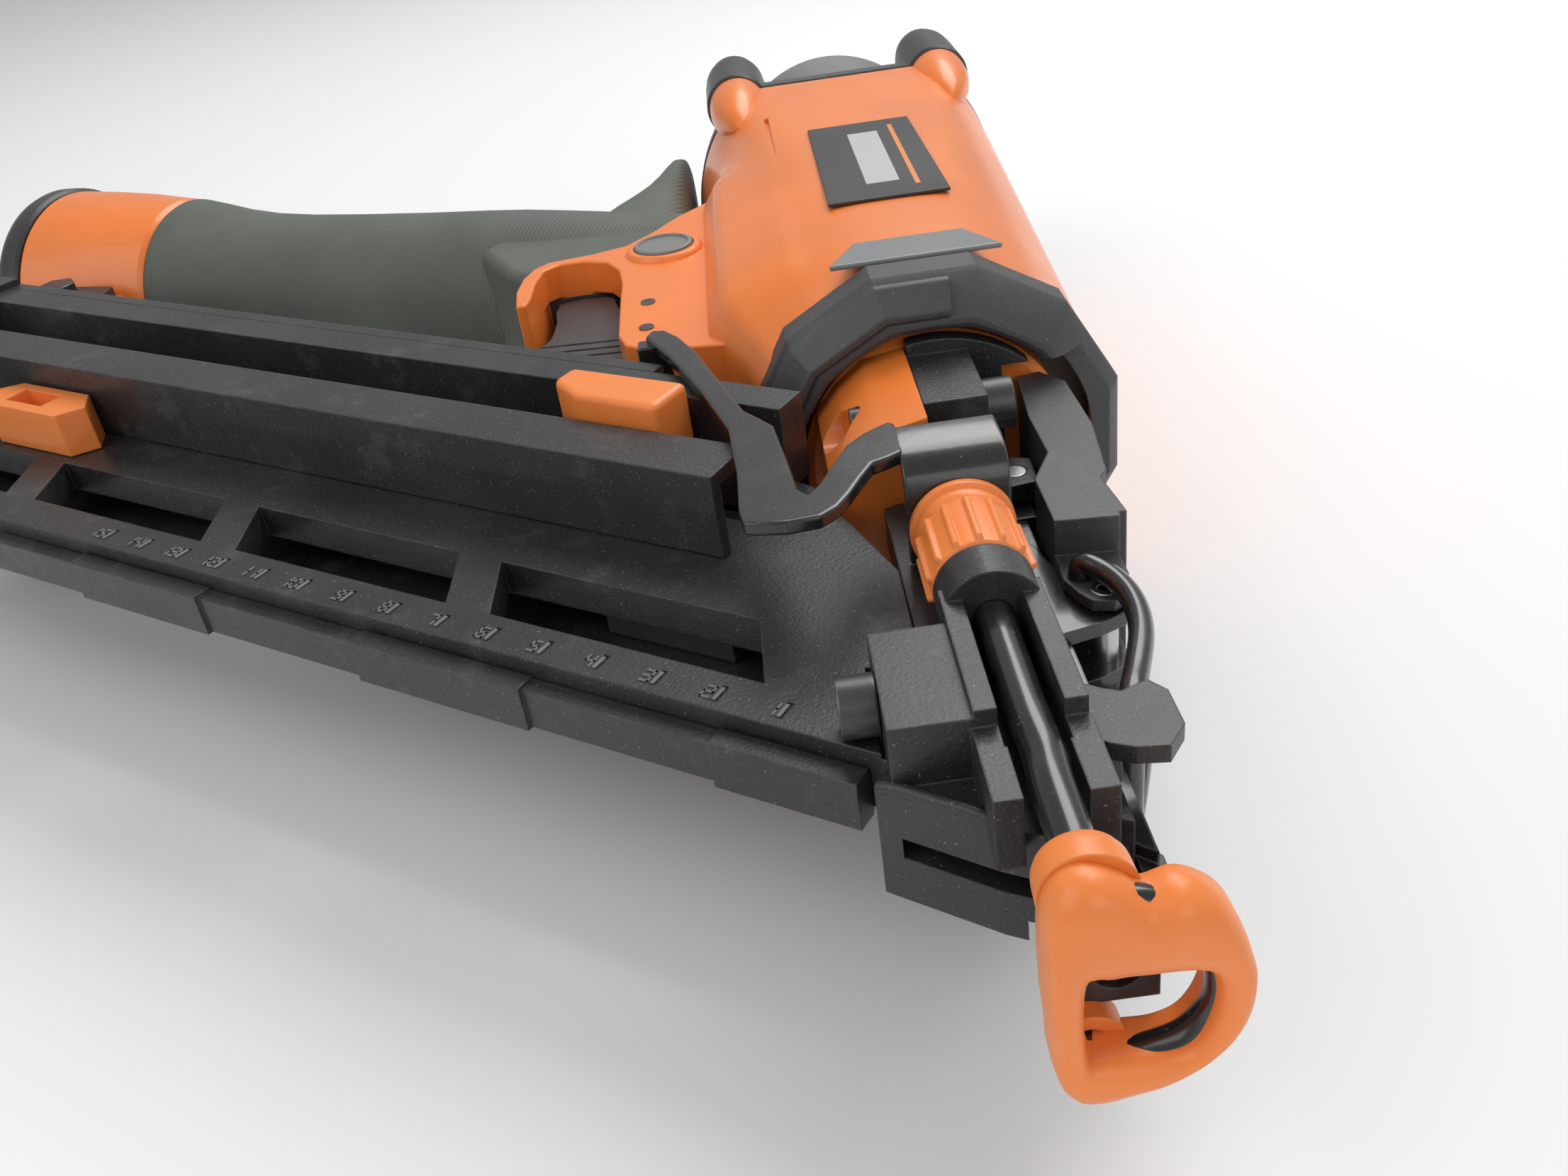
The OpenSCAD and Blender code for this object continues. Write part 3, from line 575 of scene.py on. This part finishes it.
grip = [(193.4, 24.6, 24.6, 24.6), (192.2, 25.2, 25.2, 25.2), (186, 24.0, 24.0, 24.0),
        (178, 22.3, 22.3, 22.3),
        (168, 20.9, 20.9, 20.9), (156, 20.2, 20.2, 20.2), (140, 19.9, 19.9, 19.9),
        (120, 19.9, 19.9, 19.8),
        (104, 20.2, 20.2, 19.9), (92, 20.4, 20.6, 19.8), (82, 20.5, 21.6, 19.2),
        (72, 20.4, 23.2, 18.4), (62, 19.6, 25, 17.4),
        (52, 17.5, 26, 16.8), (44, 14, 26, 16.6)]
rings("grip_tube", [grip_loop(*g) for g in grip], *SLEEVE)


def horn_loop(y, x_out, half, x_in=-42.4, count=64):
    """A rounded box section of the grip's horn behind the body."""
    out = []
    cx, hx = (x_in + x_out) / 2, (x_in - x_out) / 2
    for i in range(count):
        a = 2 * math.pi * i / count
        c, s = math.cos(a), math.sin(a)
        out.append((cx + hx * math.copysign(abs(c) ** 0.55, c), y,
                    half * math.copysign(abs(s) ** 0.7, s)))
    return out


rings("grip_horn", [horn_loop(238, -74, 16.5), horn_loop(246, -70.5, 16.5),
                    horn_loop(254, -65.6, 16.5), horn_loop(261, -60.6, 16.4),
                    horn_loop(268, -56.6, 16.2), horn_loop(276, -53.4, 16),
                    horn_loop(286, -50.6, 15.6), horn_loop(294, -49, 14.6),
                    horn_loop(298.4, -48, 13.2), horn_loop(299.8, -46.6, 11.6)], *SLEEVE)
prism("grip_web", [(-57.3, 211.8), (-64.5, 208.8), (-74.6, 207.5), (-79.2, 205.8), (-84, 209),
                   hpt(95, -16)[:2], hpt(88, 4)[:2],
                   (-50, 240), (-45.4, 228.8), (-51.3, 219.1)], -16.4, 16.4, *SLEEVE, soft=4.5, seg=5)
turned("end_cap_shell", [(6.7, 232.1), (28.4, 232.1), (29.3, 233), (29.3, 236.6), (28.6, 238.6),
                         (26.4, 240.8), (24, 241),
                         (14.2, 241), (13.6, 243.4), (12.8, 243.9), (6.7, 243.9)], BLACK, "tool",
       "end_cap", "black_cast",
       about_h, 96, closed=True)


# ---------- collar ----------
def collar_loop(y, r, facet=1.0, count=144):
    """A twelve-sided section, eased to a circle as facet falls to 0."""
    loop = []
    for i in range(count):
        a = 2 * math.pi * i / count
        off = ((a + math.pi / 12) % (math.pi / 6)) - math.pi / 12
        q = r * math.cos(math.pi / 12) / math.cos(off)
        q = r + (q - r) * facet
        loop.append((q * math.cos(a), y, q * math.sin(a)))
    return loop


collar = rings("collar_ring", [collar_loop(133.4, 33.2, 0), collar_loop(133.4, 34.4),
                               collar_loop(132.6, 34.95),
                               collar_loop(126.5, 34.9), collar_loop(125.2, 34.2),
                               collar_loop(120.2, 29.6), collar_loop(119.2, 28.2),
                               collar_loop(119.1, 27.0, 0.6), collar_loop(119.6, 26.0, 0.4),
                               collar_loop(127, 30.4, 0), collar_loop(127.2, 33.2, 0)],
               *COLLAR, closed=True, sharp=22)
carve(collar, box("collar_cut", (9, 110, -17.5), (40, 123.4, 17.5), BUMPER, "tool"))
soften(collar, 0.5, 3, 24)


def step_loop(angle):
    """One section of the raised step on the collar's bevel."""
    q = math.cos(math.pi / 12) / math.cos(((angle + math.pi / 12) % (math.pi / 6)) - math.pi / 12)
    return [(r * q * math.cos(angle), y, r * q * math.sin(angle))
            for r, y in ((28.6, 121), (28.9, 118.6), (30.2, 118.5), (34.3, 122.4), (34.6, 123.6),
                         (33, 124.6))]


spots = [math.radians(x) for x in (177, 165, 150, 135, 120, 105, 95, 85, 83)]
soften(rings("collar_step", [step_loop(x) for x in spots], *COLLAR, sharp=20), 0.35)
for s in (1, -1):
    prism(f"insert_{'ab'[s < 0]}", [(-15.4, 133.9), (15.4, 133.9), (10, 144.8), (-10, 144.8)],
          33.1 * s, 34.1 * s, CLEAR, "tool",
          "collar_inserts", "clear_insert", soft=0.35)

# ---------- trigger ----------
TRIG = [(-46.5, 176), (-45.5, 170), (-47, 164), (-54, 160), (-60, 158.5), (-68, 159), (-76, 161.5),
        (-82, 165.5), (-84.5, 170),
        (-83.5, 174), (-80, 175.5), (-76, 176), (-73.5, 180), (-73, 190), (-73, 201), (-62, 201.5),
        (-60, 196), (-57, 186),
        (-50, 179.5)]
trig = prism("trigger_body", round_line(TRIG, 2), -10.6, 10.6, DARK, "trigger_body", "trigger",
             "dark_plastic")
cuts = [prism(f"trig_cut_{i}", [(-90, y), (-57, y - 3.4), (-57, y - 4.4), (-90, y - 1.2)], 10.1, 12,
              DARK, "trigger_body")
        for i, y in enumerate((178, 174.6, 171.2))]
carve(trig, *cuts)
soften(trig, 1.6, 4)
box("yoke_lining", (-76.0, 204.32, -10.8), (-57, 205.4, 10.8), *VALVE)
box("yoke_lining_far", (-76.1, 182, -10.9), (-57, 204.2, -9.6), *VALVE)
turned("valve_body_shell", [(2.2, 196.5), (6.8, 196.5), (7, 197), (7, 230), (2.2, 230)], *VALVE,
       about_y(-66, 0), 40, closed=True)

# ---------- latch ----------
for s in (1, -1):
    z = 10.0 * s
    wire(f"bail_leg_{'ab'[s < 0]}",
         [(11.8, 64.8, 6.4 * s), (11.8, 64.8, 8.6 * s), (12.6, 64.6, z), (14.8, 61.4, z),
          (16.2, 56.6, z),
                                     (16.3, 51.2, z), (15.2, 45.6, z), (12.6, 38.4, z),
          (10.6, 33.4, z), (9.9, 31.2, 8.6 * s),
                                     (9.9, 31, 0)], 1.7, GLOSS, "bail", "bail_wire", "black_gloss")

# ---------- contact arm ----------
PLATE = [(-10.8, 85.9), (-13, 86), (-18.6, 81), (-23.6, 70), (-26.4, 69.6), (-28.6, 91), (-33, 98),
         (-40.4, 125), (-46, 137), (-49.5, 135),
         (-45, 124), (-35.7, 92), (-35, 66), (-33, 61.5), (-24, 61), (-19.4, 66.5), (-15.4, 74.2),
         (-10.8, 76.6)]
prism("arm_plate", round_line(PLATE, 2), 23.6, 25.8, *ARM, soft=0.5)
bend = [(84.6, 25.8), (78.2, 25.8), (76, 25.3), (74, 24.2), (72.6, 22.4), (71.95, 20), (71.95, 9.2),
        (74.25, 9.2), (74.25, 19.6),
        (74.8, 21.6), (76.2, 23), (78.4, 23.6), (84.6, 23.6)]
soften(piece("arm_bend", *prism_data(bend, -11.4, 3.9, lambda p: (p[2], p[0], p[1])), *ARM), 0.45)
box("arm_tail", (-51.2, 132.8, 11.6), (-45.4, 136.8, 24.4), *ARM, soft=0.5)
RX, RZ = -3.7, 15.3  # the contact rod's axis
LOOP_Z = -8.2


def knob_loop(y, r, ribs, count=168):
    """A section of the knob with fourteen thin ribs."""
    out = []
    for i in range(count):
        a = 2 * math.pi * i / count
        w = abs(((a / (2 * math.pi) * 14) % 1.0) - 0.5)
        q = r + ribs * max(0.0, min(1.0, (0.13 - w) / 0.045))
        out.append((RX + q * math.cos(a), y, RZ + q * math.sin(a)))
    return out


knob = [(2.7, 54.4, 0), (6.2, 54.4, 0), (6.9, 55, 0), (6.95, 55.4, 0.75), (6.95, 65.8, 0.75),
        (6.9, 66.6, 0.1), (6.6, 67.2, 0),
        (6.9, 67.7, 0), (7.1, 68.2, 0), (7.1, 69.0, 0), (7.0, 69.4, 0), (7.7, 69.7, 0),
        (7.75, 70.8, 0), (7.3, 71.5, 0), (2.7, 71.5, 0)]
rings("knob_body", [knob_loop(y, r, k) for r, y, k in knob], ORPLAST, "knob", "depth_knob",
      "orange_plastic", closed=True, sharp=40)
wire("rod_long", [(RX, 84.4, RZ), (RX, 60, RZ), (RX, 40, RZ), (RX, 26, RZ), (RX + 0.3, 19, RZ - 0.2),
                  (RX, 13, RZ), (RX, 4, RZ), (RX, -4, RZ)],
     2.58, *ROD, count=28)
wire("rod_loop", [(RX, 21, LOOP_Z), (RX, 8, LOOP_Z), (RX, 0, LOOP_Z), (RX, -3.2, -8.3),
                  (-2.4, -4.1, -8.6), (1.6, -4.1, -8.2), (6, -4.3, -6.4),
                  (9, -4.3, -2.6), (9.7, -4.3, 2), (8.6, -4.2, 7.8), (5.4, -4.1, 12), (1, -4.1, 14.2),
                  (-3, -4.1, 15)], 1.9, *ROD, count=24)


def resample(pts, count, centre):
    """count points of a rounded closed outline at even angles round centre."""
    line = [(p[0] - centre[0], p[1] - centre[1]) for p in round_line(pts, 6)]
    out = []
    for i in range(count):
        a = 2 * math.pi * i / count
        r = ray_to(line, a)
        out.append((centre[0] + r * math.cos(a), centre[1] + r * math.sin(a)))
    return out


PAD = [(-9, 4), (-8.9, 14), (-7.4, 18), (-4.2, 19.2), (-0.8, 17.6), (1.6, 15.6), (5.2, 16.4),
       (9.6, 13), (12.4, 6), (12.6, 1), (11, -4), (7.7, -8),
       (3.5, -10.8), (-0.8, -12), (-3.7, -12.6), (-6.8, -11.8), (-8.3, -8), (-8.6, -3)]
WIN = [(-4.9, 5.6), (-2, 6), (3, 6), (7.4, 5.6), (8.5, 2.4), (8, -1.8), (6.2, -5.2), (3.4, -6.6),
       (0.2, -6.6), (-3.2, -6.4),
       (-4.9, -5.2)]
pad_out, pad_in = resample(PAD, 96, (1.5, 2)), resample(WIN, 96, (1.5, 0))


def pad_loop(line, y, other, f):
    """One outline moved a share f of the way to the other."""
    return [(a + (b - a) * f, y, c + (d - c) * f) for (a, c), (b, d) in zip(line, other)]


rings("pad_ring", [pad_loop(pad_out, -0.7, pad_in, 0.12), pad_loop(pad_out, -1.6, pad_in, 0.02),
                   pad_loop(pad_out, -4.2, pad_in, 0),
                   pad_loop(pad_out, -6.4, pad_in, 0.05), pad_loop(pad_out, -7.5, pad_in, 0.17),
                   pad_loop(pad_out, -8, pad_in, 0.36),
                   pad_loop(pad_out, -8, pad_in, 0.62), pad_loop(pad_out, -7.6, pad_in, 0.84),
                   pad_loop(pad_out, -6.6, pad_in, 0.97),
                   pad_loop(pad_in, -5.6, pad_out, 0.0), pad_loop(pad_in, -0.7, pad_out, 0.0)],
      *PAD_SKIN, closed=True, sharp=50)

turned("pad_sleeve", [(2.7, 2.3), (4.0, 2.3), (4.8, 1.9), (5.2, 1.0), (5.3, 0), (5.4, -2.4),
                      (2.7, -2.4)], *PAD_SKIN, about_y(RX, RZ - 1.0), 48, closed=True)
turned("pad_socket", [(2.3, 1.6), (3.4, 1.6), (4.0, 1.0), (4.2, -2.4), (2.3, -2.4)], *PAD_SKIN,
       about_y(RX, LOOP_Z), 40, closed=True)

# ---------- nose details ----------
wire("nose_bead", [(-22.0, 25.0, 8.4), (-19.8, 23.5, 8.9), (-15, 20, 8.9), (-11.8, 17.7, 8.9),
                   (-9.6, 16.0, 8.4)], 0.9, BLACK, "tool",
     count=14)

# ---------- magazine details ----------
prism("pusher_tab", [(56, 41.6), (72, 41.6), (80, 45.7), (80, 51.2), (56, 51.2)], 8, 26.8, *PUSHER,
      in_mag, soft=1.2)
box("pusher_slide", (56, 41.8, 0), (80, 51, 9), *PUSHER, place=in_mag)
FACE, PROUD = 8.9, 9.2
DIGIT_W, DIGIT_STEP, STROKE_HALF = 1.3, 2.1, 0.17
for i in range(1, 16):
    box(f"tick_{i}", (i * 10 - 0.3, -1.5, FACE), (i * 10 + 0.3, 1.2, PROUD), INK, "tool", place=in_mag)
SEG = {"0": "abcdef", "1": "bc", "2": "abged", "3": "abgcd", "4": "fgbc", "5": "afgcd", "6": "afgedc",
       "7": "abc", "8": "abcdefg", "9": "abcdfg"}
STROKE = {"a": ((0, 2), (1, 2)), "b": ((1, 2), (1, 1)), "c": ((1, 1), (1, 0)), "d": ((0, 0), (1, 0)),
          "e": ((0, 1), (0, 0)), "f": ((0, 2), (0, 1)), "g": ((0, 1), (1, 1))}
for i in range(16):
    digits = str(i)
    for j, ch in enumerate(digits):
        left = i * 10 + (0.9 + DIGIT_W + (len(digits) - 1 - j) * DIGIT_STEP if i else DIGIT_W / 2)
        for s in SEG[ch]:
            (x0, y0), (x1, y1) = STROKE[s]
            xa, xb = sorted((left - x0 * DIGIT_W, left - x1 * DIGIT_W))
            ya, yb = sorted((y0 * 1.15 - 1.35, y1 * 1.15 - 1.35))
            box(f"digit_{i}_{j}_{s}", (xa - STROKE_HALF, ya - STROKE_HALF, FACE),
                (xb + STROKE_HALF, yb + STROKE_HALF, PROUD), INK, "tool", place=in_mag)

# ---------- softened CAD nodes ----------
for name, width in (("nose_casting", 0.5), ("latch_lever", 0.7), ("door", 0.5),
                    ("magazine_cover", 0.6), ("far_rail", 0.6),
                    ("lower_rail", 0.6), ("magazine_end", 1.2), ("rear_bracket", 0.6),
                    ("spare_pad", 1.0)):
    soften(frame["nodes"][name], width, 3, 40)

# ---------- room, light and camera ----------
white = bpy.data.materials.new("pale_floor")
white.use_nodes = True
white.node_tree.nodes["Principled BSDF"].inputs["Base Color"].default_value = (0.86, 0.86, 0.86, 1)
white.node_tree.nodes["Principled BSDF"].inputs["Roughness"].default_value = 0.6
bpy.ops.mesh.primitive_plane_add(size=6, location=(0, 0.2, cad_lo.z - 0.0004))
floor = bpy.context.object
floor.name = "floor"
floor.data.materials.append(white)

world = bpy.data.worlds.new("soft_white")
scene.world = world
world.use_nodes = True
world.node_tree.nodes["Background"].inputs[0].default_value = (1, 1, 1, 1)
world.node_tree.nodes["Background"].inputs[1].default_value = 0.45


def lamp(name, at, to, size, watts):
    """A soft rectangular light at one point, aimed at another."""
    d = bpy.data.lights.new(name, "AREA")
    d.shape = "RECTANGLE"
    d.size = size[0]
    d.size_y = size[1]
    d.energy = watts
    o = bpy.data.objects.new(name, d)
    o.location = at
    o.rotation_euler = (Vector(to) - Vector(at)).to_track_quat("-Z", "Y").to_euler()
    scene.collection.objects.link(o)


middle = (-0.05, 0.12, 0)
lamp("key", (0.35, 0.75, 0.9), middle, (0.9, 0.7), 9)
lamp("fill", (-0.75, -0.25, 0.7), middle, (0.9, 0.9), 3.5)
lamp("front", (0.35, -0.7, 0.5), middle, (0.6, 0.6), 1.6)

cam = bpy.data.cameras.new("camera")
cam.sensor_width = 36
cam.lens = 31.909  # with the place below, the view that the object was seen from
cam.clip_start = 0.01
eye = bpy.data.objects.new("camera", cam)
right, down, ahead = (Vector(v) for v in ((0.99027, -0.06217, -0.12449), (-0.13848, -0.52803, -0.83786),
                                          (-0.01364, 0.84695, -0.53150)))
eye.matrix_world = Matrix.Translation((-0.027645, -0.101861, 0.117485)) @ Matrix((right, -down,
                        -ahead)).transposed().to_4x4()
scene.collection.objects.link(eye)
scene.camera = eye
scene.view_settings.view_transform = "Standard"
